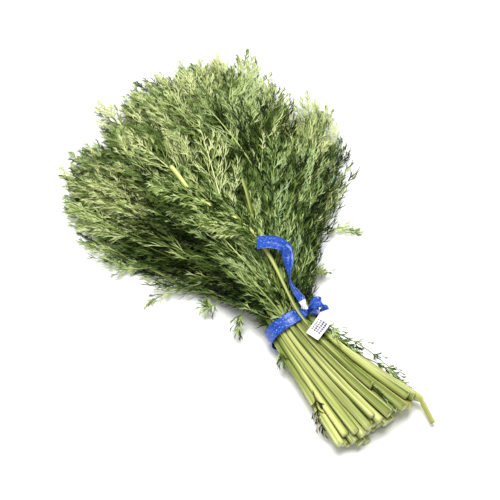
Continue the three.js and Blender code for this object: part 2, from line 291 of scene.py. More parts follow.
# A mesh from a shape's arrays, in metres in the frame, riding on the root in place of its nodes.
def makePiece(name, shape, material, nodes):
    points, faces = shape
    mesh = bpy.data.meshes.new(name)
    corners = np.concatenate([corner.ravel() for corner, uv in faces]).astype(np.int32)
    sizes = np.concatenate([np.full(len(corner), corner.shape[1]) for corner, uv in faces])
    starts = np.concatenate([[0], np.cumsum(sizes)[:-1]]).astype(np.int32)
    mesh.vertices.add(len(points))
    mesh.loops.add(len(corners))
    mesh.polygons.add(len(sizes))
    mesh.vertices.foreach_set("co", ((points + tie) / 1000).astype(np.float32).ravel())
    mesh.loops.foreach_set("vertex_index", corners)
    mesh.polygons.foreach_set("loop_start", starts)
    mesh.update(calc_edges=True)
    mesh.polygons.foreach_set("use_smooth", np.ones(len(sizes), bool))
    layer = mesh.uv_layers.new(name="OFBake")
    allUv = np.concatenate([uv.reshape(-1, 2) for corner, uv in faces])
    layer.data.foreach_set("uv", np.clip(allUv, 0.001, 0.999).astype(np.float32).ravel())
    mesh.materials.append(material)
    piece = bpy.data.objects.new(name, mesh)
    bpy.context.scene.collection.objects.link(piece)
    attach(piece, "root")
    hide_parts(*nodes)
    return piece


class Nodes:
    # A short way to add nodes to a material and join them.
    def __init__(self, name):
        self.material = bpy.data.materials.new(name)
        self.material.use_nodes = True
        self.tree = self.material.node_tree
        self.shader = self.tree.nodes["Principled BSDF"]

    def add(self, kind, inputs=(), **settings):
        node = self.tree.nodes.new(kind)
        for key, value in settings.items():
            setattr(node, key, value)
        for key, value in dict(inputs).items():
            self.put(node, key, value)
        return node

    def put(self, node, key, value):
        if isinstance(value, bpy.types.NodeSocket):
            self.tree.links.new(value, node.inputs[key])
        else:
            node.inputs[key].default_value = value

    def math(self, operation, a, b=0.0):
        return self.add("ShaderNodeMath", {0: a, 1: b}, operation=operation).outputs[0]

    def fade(self, value, start, steepness):   # 0 up to start, then rising to 1
        rise = self.math("MULTIPLY", self.math("SUBTRACT", value, start), steepness)
        return self.add("ShaderNodeClamp", {0: rise}).outputs[0]

    def between(self, value, low, high):   # 1 where the value lies between the two
        above = self.math("GREATER_THAN", value, low)
        return self.math("MULTIPLY", above, self.math("LESS_THAN", value, high))

    def mix(self, factor, a, b, blend="MIX"):
        node = self.add("ShaderNodeMix", data_type="RGBA", blend_type=blend)
        self.put(node, 0, factor)
        self.put(node, 6, a)
        self.put(node, 7, b)
        return node.outputs[2]

    def ramp(self, factor, stops):
        node = self.add("ShaderNodeValToRGB")
        band = node.color_ramp
        while len(band.elements) < len(stops):
            band.elements.new(0.5)
        for element, (position, color) in zip(band.elements, stops):
            element.position = position
            element.color = (*color, 1)
        self.put(node, 0, factor)
        return node.outputs[0]


sprigFinish = {
    "tones": [(0.0, (0.10, 0.055, 0.02)), (0.05, (0.22, 0.15, 0.05)), (0.09, (0.76, 0.80, 0.42)),
              (0.35, (0.59, 0.69, 0.31)), (0.65, (0.38, 0.51, 0.22)), (1.0, (0.32, 0.46, 0.29))],
    # painted light and shade by depth in the pile: painted shade inside, a whitened painted highlight on
    # top
    "paintedDepthLight": [(0.0, (0.006, 0.015, 0.001)), (0.3, (0.028, 0.050, 0.006)), (0.6, (0.225, 0.30, 0.12)),
               (0.82, (0.70, 0.76, 0.55)), (1.0, (1.0, 1.0, 1.0))],
    "stemPale": (0.69, 0.70, 0.30), "stemDeep": (0.12, 0.16, 0.02), "stemYellow": (0.52, 0.50, 0.17),
    "stemDull": (0.72, 0.78, 0.56),   # some stems are greener
    "pithPale": (0.62, 0.62, 0.42), "pithDeep": (0.36, 0.38, 0.18),
    "shaded": (0.15, 0.21, 0.05),     # where a stem runs into the leaves
    "leafRough": 0.4, "stemRough": 0.26, "shine": 0.1,
    "yellowFrom": 0.72, "shadedFrom": 0.205, "pithTo": 0.021,   # places in the palette
}


# The lower half of the UV map is the stem: u runs round it, in a strip of the palette that differs
# from stem to stem, and v along it, with the cut face in the lowest sliver. The upper half is the
# leaves: u is a thread's tone, from withered over yellow green to blue green, and v says how deep
# in the pile it lies, from the dark inside to the lit surface: it picks painted light and shade,
# painted shade deep in the pile and a whitened painted highlight at the surface.
def makeSprigMaterial():
    make = Nodes("dillSprig")
    uv = make.add("ShaderNodeUVMap", uv_map="OFBake").outputs[0]
    split = make.add("ShaderNodeSeparateXYZ", {0: uv})
    u = split.outputs[0]
    v = split.outputs[1]
    tone = make.ramp(u, sprigFinish["tones"])
    outward = make.math("DIVIDE", make.math("SUBTRACT", v, 0.52), 0.47)
    # a leaf's colour is its tone times the painted light and shade for its depth in the pile
    leaf = make.mix(1.0, tone, make.ramp(outward, sprigFinish["paintedDepthLight"]), "MULTIPLY")
    stretched = make.add("ShaderNodeMapping", {0: uv, 3: (1.0, 0.06, 1.0)})
    streaks = make.add("ShaderNodeTexNoise", {0: stretched.outputs[0], "Scale": 42.0, "Detail": 3.0})
    wide = make.add("ShaderNodeMapping", {0: uv, 3: (1.0, 0.5, 1.0)})
    blotches = make.add("ShaderNodeTexNoise", {0: wide.outputs[0], "Scale": 7.0, "Detail": 2.0})
    amount = make.math("ADD", make.math("MULTIPLY", streaks.outputs[0], 0.5),
                       make.math("MULTIPLY", blotches.outputs[0], 0.9))
    stem = make.ramp(amount, [(0.57, sprigFinish["stemDeep"]), (0.8, sprigFinish["stemPale"])])
    tints = make.add("ShaderNodeTexNoise", {0: stretched.outputs[0], "Scale": 13.0, "Detail": 1.0})
    tint = make.ramp(tints.outputs[0], [(0.42, sprigFinish["stemDull"]), (0.58, (1.0, 1.0, 1.0))])
    stem = make.mix(1.0, stem, tint, "MULTIPLY")
    yellow = make.math("MULTIPLY", make.fade(u, sprigFinish["yellowFrom"], 30.0), 0.5)
    stem = make.mix(yellow, stem, (*sprigFinish["stemYellow"], 1))
    # painted shade where the stem runs into the leaves
    inLeaves = make.fade(v, sprigFinish["shadedFrom"], 16.0)
    stem = make.mix(inLeaves, stem, (*sprigFinish["shaded"], 1))
    grain = make.add("ShaderNodeTexNoise", {0: uv, "Scale": 60.0, "Detail": 2.0}).outputs[0]
    pith = make.ramp(grain, [(0.35, sprigFinish["pithDeep"]), (0.65, sprigFinish["pithPale"])])
    stem = make.mix(make.math("LESS_THAN", v, sprigFinish["pithTo"]), stem, pith)
    isLeaf = make.math("GREATER_THAN", v, 0.5)
    rough = make.math("ADD", sprigFinish["stemRough"],
                      make.math("MULTIPLY", isLeaf, sprigFinish["leafRough"] - sprigFinish["stemRough"]))
    make.put(make.shader, "Base Color", make.mix(isLeaf, stem, leaf))
    make.put(make.shader, "Roughness", rough)
    make.put(make.shader, "Specular IOR Level", sprigFinish["shine"])
    return make.material


# A stem's middle line at s: its place in the bunch with a slow wave, lifted where its end shows.
def stemLine(sprig, s):
    shape = stemShape
    k = sprig["seed"]
    u = sprig["u"] + sprig["drift"] * smooth((s - sprig["driftStart"]) / sprig["driftLength"])
    v = sprig["v"] - sprig["settles"] * smooth(s / bunch["pileRise"])
    line = place(u, v, s)
    sway = shape["wave"] * smooth((s - shape["waveFrom"]) / shape["waveLength"])
    line[:, 0] += sway * np.sin(s / (24 + 14 * chance(k, 11)) + 6.3 * chance(k, 12))
    line[:, 2] += 0.6 * sway * np.sin(s / (20 + 16 * chance(k, 13)) + 6.3 * chance(k, 14))
    line[:, 2] += sprig["lifts"] * smooth((s - sprig["to"] + shape["liftFrom"]) / shape["liftLength"])
    if sprig["loose"]:
        line[:, 2] += shape["arch"] * np.exp(-((s - shape["archAt"]) / shape["archWide"]) ** 2)
    line[:, 2] = np.maximum(line[:, 2], stemRadius(sprig, s))
    return line


# A stem's radius at s: it eases from the cut end to the tie and thins with the power 1.5 to its tip.
# Each stem has its own thickness and one joint, a bell-shaped swelling.
def stemRadius(sprig, s):
    cut, tied = bunch["stemAtCut"] / 2, bunch["stemAtTie"] / 2
    back = tied + (cut - tied) * smooth(-s / bunch["cutLength"])
    least = stemShape["topThick"] / 2
    top = least + (tied - least) * (1 - np.clip(s / stemShape["thinBy"], 0, 1)) ** 1.5
    if sprig["bare"]:
        top = tied * (0.85 - 0.2 * np.clip(s / 180, 0, 1))
    if sprig["loose"]:
        top = back = tied * (0.36 + 0.4 * smooth((s + 10) / 110))   # its cut end lies at the tips
    own = 1 + stemShape["uneven"] * (chance(sprig["seed"], 15) - 0.6)
    joint = -30 - 65 * chance(sprig["seed"], 18)
    swell = 1 + stemShape["joint"] * np.exp(-((s - joint) / stemShape["jointLong"]) ** 2)
    return np.where(s < 0, back, top) * own * swell


# A stem is a ribbed tube along its line, with its own strip of the palette. Its cut face steps in
# to a paler, slightly sunken pith.
def ribbedStem(sprig, line, radius):
    shape = stemShape
    k = sprig["seed"]
    strip = 0.75 if sprig["bent"] or sprig["node"] in shape["yellow"] else 0.46 * chance(k, 16)
    sides = shape["sides"]
    if sprig["bent"]:
        share = np.linspace(shape["tailShare"], 0, 12)[:-1, None]
        drop = line[0, 2] - bunch["stemAtCut"] / 2
        tail = line[:1] + share * np.array([0, -bunch["bentTail"], -drop])
        thin = np.full(len(tail), shape["tailThin"] * bunch["bentThin"] * radius[0])
        line = np.concatenate([tail, line])
        radius = np.concatenate([thin, radius])
        radius[len(tail) - 1:len(tail) + 1] *= 0.8   # pinched where it bends
    if sprig["loose"]:
        line = line[::-1]
        radius = radius[::-1]
    # the bare and loose stems lie on top and end before the painted shade starts
    paleTo = 0.2 if sprig["bare"] or sprig["loose"] else 0.49
    stem = tubes(line[None], radius[None], sides, (strip, strip + 0.25, 0.024, paleTo),
                 ribs=shape["ribs"], ribDepth=shape["ribDepth"], turn=k)
    along = unit(line[1] - line[0])
    plug = np.array([line[0] - 0.15 * along, line[0] + 0.3 * along])
    pith = tubes(plug[None], np.array([[0.7, 0.7]]) * radius[0], 12, (0.0, 1.0, 0.002, 0.018))
    if sprig["broken"]:
        torn = np.random.default_rng(5).uniform(-2.6, 1.2, sides)
        stem[0][:sides] += torn[:, None] * along
    return [stem, pith]


leafShape = {
    "gap": 27.0, "nearGap": 13.0, "nearTie": 42.0,   # along the stem from one leaf to the next
    "long": 112.0, "short": 74.0, "nearLong": 80.0,   # low on its sprig, near its tip and by the tie
    "lean": 0.36,           # how far a leaf leans away from its stem, as a share of its length
    "bare": 0.2, "nearBare": 0.08,   # share of the midrib before the first pinna
    "pairs": 6, "pinnaLong": 0.36, "pinnaAngle": 0.56, "roll": 0.3,
    "pinnules": 3, "pinnuleLong": 0.54, "pinnuleAngle": 0.40,
    "firstBefore": 30, "crowd": 0.7,   # near leaves stand closer on the top rows
    "coverTo": 84.0,        # in the middle of the top rows, short leaves reach this far
    "tuftGap": 9.0, "tuftLong": 45.0,   # on the loose sprig
    "tuftsBefore": 42, "tuftsEnd": 44, "lastTuft": 30, "tuftDepth": 0.64,
    "ragged": 34.0,   # how unevenly the last leaves end
    "beyondAt": [-1, -0.85, -0.6, -0.35, -0.12, 0.1, 0.26, 0.45, 0.7, 1],   # places across the fan
    "beyond": [-4, -8, -4, -1, -2, 9, 15, 2, 11, 0],   # how far the tips reach past the stem's end
    "forkLong": 0.72, "forkAngle": 0.34, "threadRadius": 0.43,
    "lowest": 0.5, "soft": 2.4, "ceiling": 70.0,   # heights that leaves keep between, and how softly
    "roomAside": 15.5, "roomAhead": 20.0,   # where leaf tips are stopped, past the CAD part's box
    "withered": 0.08,       # tones below this are dry leaves and don't vary
}


# The v of the palette for a place between the inside of the pile, 0, and its surface, 1: the row of
# painted shade or painted light it gets
def paletteRow(outward):
    return 0.52 + 0.47 * np.clip(outward, 0.02, 0.98)


leafRoom = np.array([leafShape["roomAside"], leafShape["roomAhead"], 0])
edges = [np.array(corner) * 1000 - tie + side * leafRoom for corner, side in zip(cadBox, (-1, 1))]


# Leaves press down on the surface they lie on: heights near the floor and near the top of the pile
# flatten out, each by a soft logarithmic bend, and tips are stopped at the edges.
def settle(points):
    least, soft, top = leafShape["lowest"], leafShape["soft"], leafShape["ceiling"]
    out = points.copy()
    low = least + soft * np.logaddexp(0, (out[..., 2] - least) / soft)
    out[..., 2] = top - soft * np.logaddexp(0, (top - low) / soft)
    out[..., 0] = np.clip(out[..., 0], edges[0][0], edges[1][0])
    out[..., 1] = np.minimum(out[..., 1], edges[1][1])
    return out


def bezier(p0, p1, p2, p3, t):   # the cubic curve that four points draw, at t
    t = t[..., None]
    r = 1 - t
    return r ** 3 * p0 + 3 * r * r * t * p1 + 3 * r * t * t * p2 + t ** 3 * p3


def bezierWay(p0, p1, p2, p3, t):   # the direction of that curve at t
    t = t[..., None]
    r = 1 - t
    return unit(r * r * (p1 - p0) + 2 * r * t * (p2 - p1) + t * t * (p3 - p2))


# Pairs of side shoots along each of m carriers, and one more that ends it. A carrier has a start, a
# direction, a length, the normal of its plane, and the direction and the amount of its curl.
def branch(rng, carrier, pairs, first, angle, roll, share, thin):
    at, way, long, flat, bend, curl = carrier
    m = len(at)
    q = np.linspace(first, 0.86, pairs)[None] + rng.uniform(-0.05, 0.05, (m, pairs))
    start = at[:, None] + long[:, None, None] * (
        q[..., None] * way[:, None] + (curl[:, None] * q * q)[..., None] * bend[:, None])
    start = np.broadcast_to(start[:, :, None], (m, pairs, 2, 3))
    tilt = unit(flat[:, None, None] + rng.normal(0, roll, (m, pairs, 2, 3)))
    go = unit(way[:, None, None] + 2 * (curl[:, None] * q)[:, :, None, None] * bend[:, None, None])
    out = unit(np.cross(go, tilt)) * np.array([1.0, -1.0])[None, None, :, None]
    turn = (angle * (1.15 - 0.35 * q)[:, :, None] * rng.uniform(0.75, 1.25, (m, pairs, 2)))[..., None]
    shoot = unit(np.cos(turn) * go + np.sin(turn) * out)
    size = share * (1 - thin * q ** 1.5)[:, :, None] * rng.uniform(0.8, 1.18, (m, pairs, 2))
    size = size * long[:, None, None]
    end = at + long[:, None] * (way + curl[:, None] * bend)
    endWay = unit(way + 2 * curl[:, None] * bend)
    owner = np.concatenate([np.repeat(np.arange(m), pairs * 2), np.arange(m)])
    return (np.concatenate([start.reshape(-1, 3), end]),
            np.concatenate([shoot.reshape(-1, 3), endWay]),
            np.concatenate([size.reshape(-1), share * 0.8 * long]),
            np.concatenate([tilt.reshape(-1, 3), flat]), owner)


# Thin pointed threads: each runs its own way and bends with the square of the distance towards its
# rise, and is thickest before the middle.
def threads(start, way, long, radius, tone, outward, rise, rings):
    q = np.linspace(0, 1, rings)[None, :, None]
    line = start[:, None] + long[:, None, None] * (q * way[:, None] + 0.5 * q * q * rise[:, None])
    size = radius[:, None] * (0.8 + 0.5 * q[..., 0] - 0.95 * q[..., 0] ** 3)
    # each thread is painted a little darker at its base and lighter at its tip: painted shade and light
    band = (tone - 0.012, tone + 0.012, paletteRow(outward - 0.04), paletteRow(outward + 0.06))
    return tubes(settle(line), size, 3, band, pointed=True)


# The feathery part of n leaves, whose midribs are curves given by four points each: a tube along
# each midrib, curled pinnae in pairs along it, and forked threads along each pinna.
def feather(rng, curve, long, normal, leafTone, leafOutward, bare, pairs, pinnules):
    n = len(long)
    withered = leafShape["withered"]
    t = np.linspace(0, 1, 8)
    size = (0.5 + 0.5 * long / leafShape["long"])[:, None]
    rib = bezier(*curve, np.broadcast_to(t, (n, 8)))
    yellower = np.where(leafTone < withered, leafTone, np.clip(leafTone - 0.15, 0.12, 1))
    # the midrib runs from painted shade at its base to more painted light along it
    band = (yellower - 0.02, yellower + 0.02, paletteRow(leafOutward), paletteRow(leafOutward + 0.1))
    shapes = [tubes(settle(rib), (1.0 - 0.62 * t)[None] * size, 5, band)]

    # pinnae in pairs along each midrib, longest a third of the way up, and one that ends the leaf
    t = bare[:, None] + (0.92 - bare[:, None]) * np.linspace(0, 1, pairs)[None]
    t = t + rng.uniform(-0.03, 0.03, (n, pairs))
    at = np.broadcast_to(bezier(*curve, t)[:, :, None], (n, pairs, 2, 3))
    go = np.broadcast_to(bezierWay(*curve, t)[:, :, None], (n, pairs, 2, 3))
    flat = unit(normal[:, None, None] + rng.normal(0, 0.16, (n, pairs, 2, 3)))
    out = unit(np.cross(go, flat)) * np.array([1.0, -1.0])[None, None, :, None]
    turn = leafShape["pinnaAngle"] * (1.2 - 0.4 * t)[:, :, None]
    turn = (turn * rng.uniform(0.75, 1.25, (n, pairs, 2)))[..., None]
    way = unit(np.cos(turn) * go + np.sin(turn) * out + 0.12 * rng.normal(0, 1, turn.shape) * flat)
    size = 1 - 0.6 * np.clip((t - 0.35) / 0.6, 0, 1) ** 1.3 - 0.2 * np.clip((0.35 - t) / 0.15, 0, 1)
    size = leafShape["pinnaLong"] * size[:, :, None] * rng.uniform(0.75, 1.2, (n, pairs, 2))
    size = size * long[:, None, None]
    endWay = bezierWay(*curve, np.full((n, 1), 0.99))[:, 0]
    at = np.concatenate([at.reshape(-1, 3), bezier(*curve, np.ones((n, 1)))[:, 0]])
    bend = np.concatenate([go.reshape(-1, 3), endWay])
    way = np.concatenate([way.reshape(-1, 3), endWay])
    flat = np.concatenate([flat.reshape(-1, 3), normal])
    size = np.concatenate([size.reshape(-1), 0.16 * long])
    tone = np.concatenate([np.repeat(leafTone, pairs * 2), leafTone])
    tone = np.where(tone < withered, tone, np.clip(tone + rng.normal(0, 0.05, len(tone)), 0.12, 0.96))
    outward = np.concatenate([np.repeat(leafOutward, pairs * 2), leafOutward])
    # painted light and shade differ at random from pinna to pinna
    outward = outward + rng.normal(0, 0.17, len(tone))
    curl = rng.uniform(0.1, 0.3, len(at))
    q = np.array([0.0, 0.5, 1.0])[None, :, None]
    arc = q * way[:, None] + curl[:, None, None] * q * q * bend[:, None]
    line = at[:, None] + size[:, None, None] * arc
    radius = np.array([0.55, 0.5, 0.3])[None] * np.ones((len(at), 1))
    band = (tone - 0.03, tone - 0.01, paletteRow(outward), paletteRow(outward + 0.06))
    shapes.append(tubes(settle(line), radius, 3, band, pointed=True))

    # pinnules along each pinna, each forked into two more threads
    carrier = (at, way, size, flat, bend, curl)
    start, way, long, tilt, owner = branch(rng, carrier, pinnules, 0.2,
                                           leafShape["pinnuleAngle"], leafShape["roll"],
                                           leafShape["pinnuleLong"], 0.35)
    m = len(start)
    tone = tone[owner]
    tone = np.where(tone < withered, tone, np.clip(tone + rng.normal(0, 0.05, m), 0.11, 0.97))
    # and from thread to thread
    outward = outward[owner] + rng.normal(0, 0.19, m)
    long = np.clip(long, 7, 24)
    radius = leafShape["threadRadius"] * rng.uniform(0.8, 1.2, m)
    rise = rng.normal(0, 0.14, (m, 3)) + 0.4 * (bend[owner] - way)
    shapes.append(threads(start, way, long, radius, tone, outward, rise, 4))
    side = unit(np.cross(way, tilt))
    for hand, where in ((1.0, 0.25), (-1.0, 0.48)):
        turn = leafShape["forkAngle"] * rng.uniform(0.75, 1.4, (m, 1))
        fork = unit(np.cos(turn) * way + hand * np.sin(turn) * side + rng.normal(0, 0.06, (m, 3)))
        forkLong = long * leafShape["forkLong"] * rng.uniform(0.75, 1.2, m)
        root = start + (long * where)[:, None] * (way + 0.5 * where * rise)
        bow = rise + 0.5 * (way - fork)
        shapes.append(threads(root, fork, forkLong, 0.92 * radius, tone, outward, bow, 3))
    return shapes


# How far the last leaves of a sprig reach past its own tip
def tipsBeyond(sprig):
    beyond = np.interp(sprig["u"], leafShape["beyondAt"], leafShape["beyond"])
    return beyond + leafShape["ragged"] * (chance(sprig["seed"], 21) - 0.65)


# The palette across the fan, at places from its left edge to its right edge
leafTones = {
    "places": [-1, -0.65, -0.35, 0, 0.35, 0.7, 1],
    "across": [0.42, 0.38, 0.22, 0.48, 0.6, 0.3, 0.45],
    # painted light on the leaf tips, which come up to the lit surface
    "tipLight": [0.04, 0.08, 0.1, 0.04, 0.06, 0.24, 0.14],   # paler tips
    "spread": 0.28, "loose": 0.24,
}


# The leaves of one sprig stand at spaced places s along it and lean out by turns to either side. A
# leaf is as deep in the pile as its stem, and comes up to the surface towards the sprig's tip. That
# depth is painted light and shade: leaves low in the pile, inward on the fan, near the ribbon or
# bent down get painted shade, and leaves on the top rows, at the rim, rising or at the tips get painted
# light.
def growLeaves(sprig, rng):
    shape = leafShape
    top = sprig["leavesEnd"] if sprig["loose"] else sprig["to"] + tipsBeyond(sprig)
    first = sprig["leaves"] - shape["firstBefore"]
    nearTie = shape["nearTie"]
    if sprig["loose"]:
        s = np.arange(sprig["leaves"] - shape["tuftsBefore"], top - shape["tuftsEnd"], shape["tuftGap"])
    else:
        if sprig["v"] > 0.4 and abs(sprig["u"]) < 0.5:
            nearTie = shape["coverTo"]
        crowd = shape["crowd"] if sprig["v"] > 0.4 else 1
        near = np.arange(first, nearTie, shape["nearGap"] * crowd)
        if sprig["u"] < -0.5:
            near = near[near > 40]         # the left edge starts with bare stems
        elif sprig["v"] < 0.2 and abs(sprig["u"]) < 0.55:
            near = near[len(near) // 2:]   # hidden inside the bundle
        gap = shape["gap"] * (1.25 if sprig["v"] < -0.2 else 1)
        s = np.concatenate([near, np.arange(max(first, nearTie) + 8, top - 58, gap)])
    last = top - shape["lastTuft"] if sprig["loose"] else top - shape["short"] - 4
    s = np.append(s + rng.uniform(-6, 6, len(s)), last)
    n = len(s)
    isNear = s < nearTie
    share = np.clip((s - sprig["leaves"]) / (top - sprig["leaves"]), 0, 1)
    long = shape["long"] + (shape["short"] - shape["long"]) * share
    long = np.where(isNear, shape["nearLong"], long)
    if sprig["loose"]:
        long = np.full(n, shape["tuftLong"])
    long = np.minimum(long * rng.uniform(0.8, 1.15, n), (top - s) * 1.02)
    bare = np.where(isNear, shape["nearBare"], shape["bare"]) + rng.uniform(0, 0.06, n)
    fine = np.linspace(sprig["from"], max(top, sprig["to"]), 160)
    whole = stemLine(sprig, fine)
    way = unit(np.gradient(whole, axis=0))
    pick = np.clip(np.searchsorted(fine, s), 0, len(fine) - 1)
    later = np.clip(np.searchsorted(fine, s + 0.6 * long), 0, len(fine) - 1)
    ahead = unit(way[pick] + way[later])
    across = unit(np.cross(ahead, [0, 0, 1.0]))
    above = np.cross(across, ahead)
    hand = np.where(np.arange(n) % 2, 1.0, -1.0)
    outer = np.sign(sprig["u"]) * hand * min(1, 1.15 * abs(sprig["u"])) ** 1.5
    lean = shape["lean"] * rng.uniform(0.3, 1.4, n) * (1 - 1.6 * np.clip(outer, 0, 1))
    lean = (lean * np.where(np.arange(n) == n - 1, 0.15, 1) * long)[:, None]
    rise = rng.uniform(-0.35, 0.9, n) * (0.7 + 0.5 * sprig["v"])
    aside = hand[:, None] * np.cos(rise)[:, None] * across + 0.6 * np.sin(rise)[:, None] * above
    far = long[:, None]
    down = np.array([0, 0, -1.0]) * far * rng.uniform(0.0, 0.12, (n, 1))
    base = whole[pick]
    curve = [base,
             base + 0.3 * far * ahead + 0.2 * lean * aside,
             base + 0.62 * far * ahead + 0.62 * lean * aside,
             base + 0.93 * far * ahead + lean * aside + down]
    curve = [p[:, None] for p in curve]
    normal = unit(above + across * rng.uniform(-0.45, 0.45, (n, 1)) + 0.15 * rng.normal(0, 1, (n, 3)))
    leafTone = np.clip(sprig["tone"] + rng.normal(0, 0.16, n), 0.14, 0.95)
    # painted light and shade: lighter on the top rows, at the rim and on rising leaves, darker inside
    inside = 0.16 + 0.46 * sprig["v"] + 0.28 * sprig["u"] ** 2 + 0.14 * rise
    tips = smooth((share - 0.25) / 0.6)
    tipLight = np.interp(sprig["u"], leafTones["places"], leafTones["tipLight"])
    # painted shade by the ribbon, and painted light towards the tips
    outward = inside - 0.05 * isNear + (1.04 + 0.08 * sprig["v"] + tipLight - inside) * tips
    leafTone = np.where(isNear, np.maximum(leafTone, 0.45), leafTone - 0.12 * tips)
    leafTone = np.clip(leafTone, 0.12, 0.95)
    # the loose sprig's tufts lie on top and take one fixed level of painted light
    if sprig["loose"]:
        outward = np.full(n, shape["tuftDepth"])
    # painted light and shade that differs at random from leaf to leaf
    outward = outward - 0.02 + rng.normal(0, 0.19, n)
    return feather(rng, curve, long, normal, leafTone, outward, bare, shape["pairs"], shape["pinnules"])


# Small torn leaves that cling to the stems between the ribbon and the cut ends, and strays that stick
# out at the sides of the pile: the sprig they sit on, how far past the ribbon, the angle from the
# direction of the cut ends (positive to the right), length, rise, tone and palette depth, which is
# their painted light and shade.
wisps = [
    ("sprig_39", -6, 0.35, 24, 0.30, 0.5, 0.62), ("sprig_37", -10, 0.30, 30, 0.30, 0.4, 0.62),
    ("sprig_37", -30, 0.20, 26, 0.20, 0.5, 0.60), ("sprig_24", -18, 0.36, 78, 0.12, 0.6, 0.52),
    ("sprig_24", -56, 0.28, 40, 0.12, 0.4, 0.58), ("sprig_36", -78, -0.1, 24, 0.20, 0.6, 0.50),
    ("sprig_25", -64, -0.35, 30, 0.05, 0.06, 0.6), ("sprig_17", -14, -0.40, 14, 0.0, 0.4, 0.6),
    ("sprig_17", 46, -1.6, 20, 0.0, 0.4, 0.62), ("sprig_17", 74, -1.8, 22, 0.0, 0.35, 0.66),
    ("sprig_17", 108, -2.35, 44, 0.05, 0.22, 0.84), ("sprig_17", 150, -2.5, 40, 0.0, 0.4, 0.8),
    ("sprig_24", 52, 2.2, 24, 0.0, 0.4, 0.66), ("sprig_24", 96, 2.3, 32, 0.1, 0.35, 0.8),
]


# Each wisp is a feather on a curve that leaves its stem at the given angle and droops at its end.
def growWisps(sprig, rng):
    mine = np.array([wisp[1:] for wisp in wisps if wisp[0] == sprig["node"]])
    if not len(mine):
        return []
    s, turn, long, rise, tone, outward = mine.T
    base = stemLine(sprig, s)
    back = unit(base - stemLine(sprig, s + 5))
    level = np.array([0, 0, 1.0])
    right = unit(np.cross(level, back))
    go = unit(np.cos(turn)[:, None] * back + np.sin(turn)[:, None] * right + rise[:, None] * level)
    far = long[:, None]
    droop = unit(back * 0.6 + rng.normal(0, 0.5, (len(s), 3)) - 0.9 * level)
    base = base + stemRadius(sprig, s)[:, None] * (0.6 * level + 0.5 * np.sign(turn)[:, None] * right)
    curve = [base, base + 0.35 * far * go, base + 0.7 * far * go + 0.1 * far * droop,
             base + 0.85 * far * go + 0.35 * far * droop]
    curve = [p[:, None] for p in curve]
    normal = unit(level + 0.4 * rng.normal(0, 1, (len(s), 3)))
    return feather(rng, curve, np.minimum(long, 27), normal, tone, outward, np.full(len(s), 0.3), 4, 1)


# One sprig with its leaves. The draws of each sprig come from a seed of its own.
def growSprig(sprig, material):
    rng = np.random.default_rng(4100 + sprig["seed"])
    sprig["tone"] = np.interp(sprig["u"], leafTones["places"], leafTones["across"])
    sprig["tone"] += rng.uniform(-1, 1) * leafTones["spread"]
    if sprig["loose"]:
        sprig["tone"] = leafTones["loose"]
    early = stemShape["endsEarly"] if sprig["bare"] or sprig["loose"] else leafShape["short"]
    top = sprig["to"] - early
    s = np.linspace(sprig["from"], top, stemShape["rings"])
    line = stemLine(sprig, s)
    shapes = ribbedStem(sprig, line, stemRadius(sprig, s))
    if not sprig["bare"]:
        shapes += growLeaves(sprig, rng)
        shapes += growWisps(sprig, rng)
    return makePiece("dill_" + sprig["node"], joinShapes(shapes), material, [sprig["node"]])


sprigMaterial = makeSprigMaterial()
for sprig in sprigs:
    growSprig(sprig, sprigMaterial)
print("sprigs grown:", len(sprigs))


ribbonLook = {
    "thick": 0.34, "perStop": 9, "across": 15, "wireRidge": 0.28, "wireWidth": 0.13,
    "pleats": 2.0, "crinkle": 0.22, "length": 290.0,
    "blue": (0.008, 0.075, 0.44), "deepBlue": (0.003, 0.024, 0.20), "mark": (0.20, 0.36, 0.78),
    "white": (0.80, 0.80, 0.84), "dark": (0.06, 0.05, 0.08),
    "whiteParts": [(0.0, 0.118), (0.70, 0.735), (0.40, 0.425)],   # shares of its length
    "label": (6.0, 21.0), "inner": 0.36, "fleckSize": 0.25, "dotSize": 0.46, "rough": 0.32,
}


# Stops along the ribbon from its label to its free end, with one turn round the bundle as an oval in
# equal steps of angle. Each stop: x, y, z above the bundle's top, the direction of the ribbon's width,
# and how wide it lies.
def ribbonStops():
    full, knot = bunch["ribbonWidth"], bunch["knotWidth"]
    room, thick = bunch["ribbonRoom"], bunch["ribbonThick"]
    top = bunch["tieLift"] + tieHeight + room
    stops = [
        (2.9, -25.1, 2.4, 0.05, -1, 0, full), (9, -22.4, 3.6, 0.1, -1, -0.03, full),
        (15.3, -19.4, 4.4, 0.15, -1, -0.08, full), (20.4, -16, 5.2, 0.2, -1, -0.2, 12),
        (22.8, -11.6, 7.2, 0.2, -0.8, -0.5, 9), (22.6, -7.5, 10.2, 0.2, -0.7, -0.6, 8.5),
        (21, -4.6, 12.6, 0.1, -0.9, -0.3, 11), (18.6, -3.4, 11.4, 0.2, -1, -0.1, 12),
        (15.2, -2.4, 7.4, 0.1, -1, 0, 7), (13.8, -2, 2.6, 0.1, -1, 0, knot),
    ]
    for i in range(15):
        angle = math.radians(56 + (-292 - 56) * i / 14)
        x = (tieWidth / 2 + room + thick) * math.cos(angle)
        z = tieHeight / 2 + bunch["tieLift"] + (tieHeight / 2 + room + thick) * math.sin(angle) - top
        stops.append((x, 0, z, 0, -1, 0, (knot + full) / 2 if i in (0, 14) else full))
    stops += [
        (11.4, 4.2, 3.4, 0.6, -0.8, 0, knot), (11.6, 9.5, 6, 0.75, 0.1, -0.45, 10),
        (10.2, 16.6, 9.5, 0.65, 0.45, -0.5, 11), (9.4, 23, 13, 0.5, 0.3, -0.8, 9),
        (11.6, 30, 16.5, 0, 0, -1, 9), (15.6, 38, 19.5, -0.6, 0.4, -0.7, 10),
        (18.6, 46, 23.5, -0.8, 0.55, -0.2, 10), (17.6, 51.5, 27.4, -0.75, -0.66, 0, 12),
        (13, 56.8, 29, -0.62, -0.78, 0.05, full), (6.4, 61.2, 28.8, -0.55, -0.83, 0.05, full),
        (-0.5, 65, 27.4, -0.52, -0.85, 0.05, full),
    ]
    stops = np.array(stops, float)
    stops[:, 2] += top
    return stops


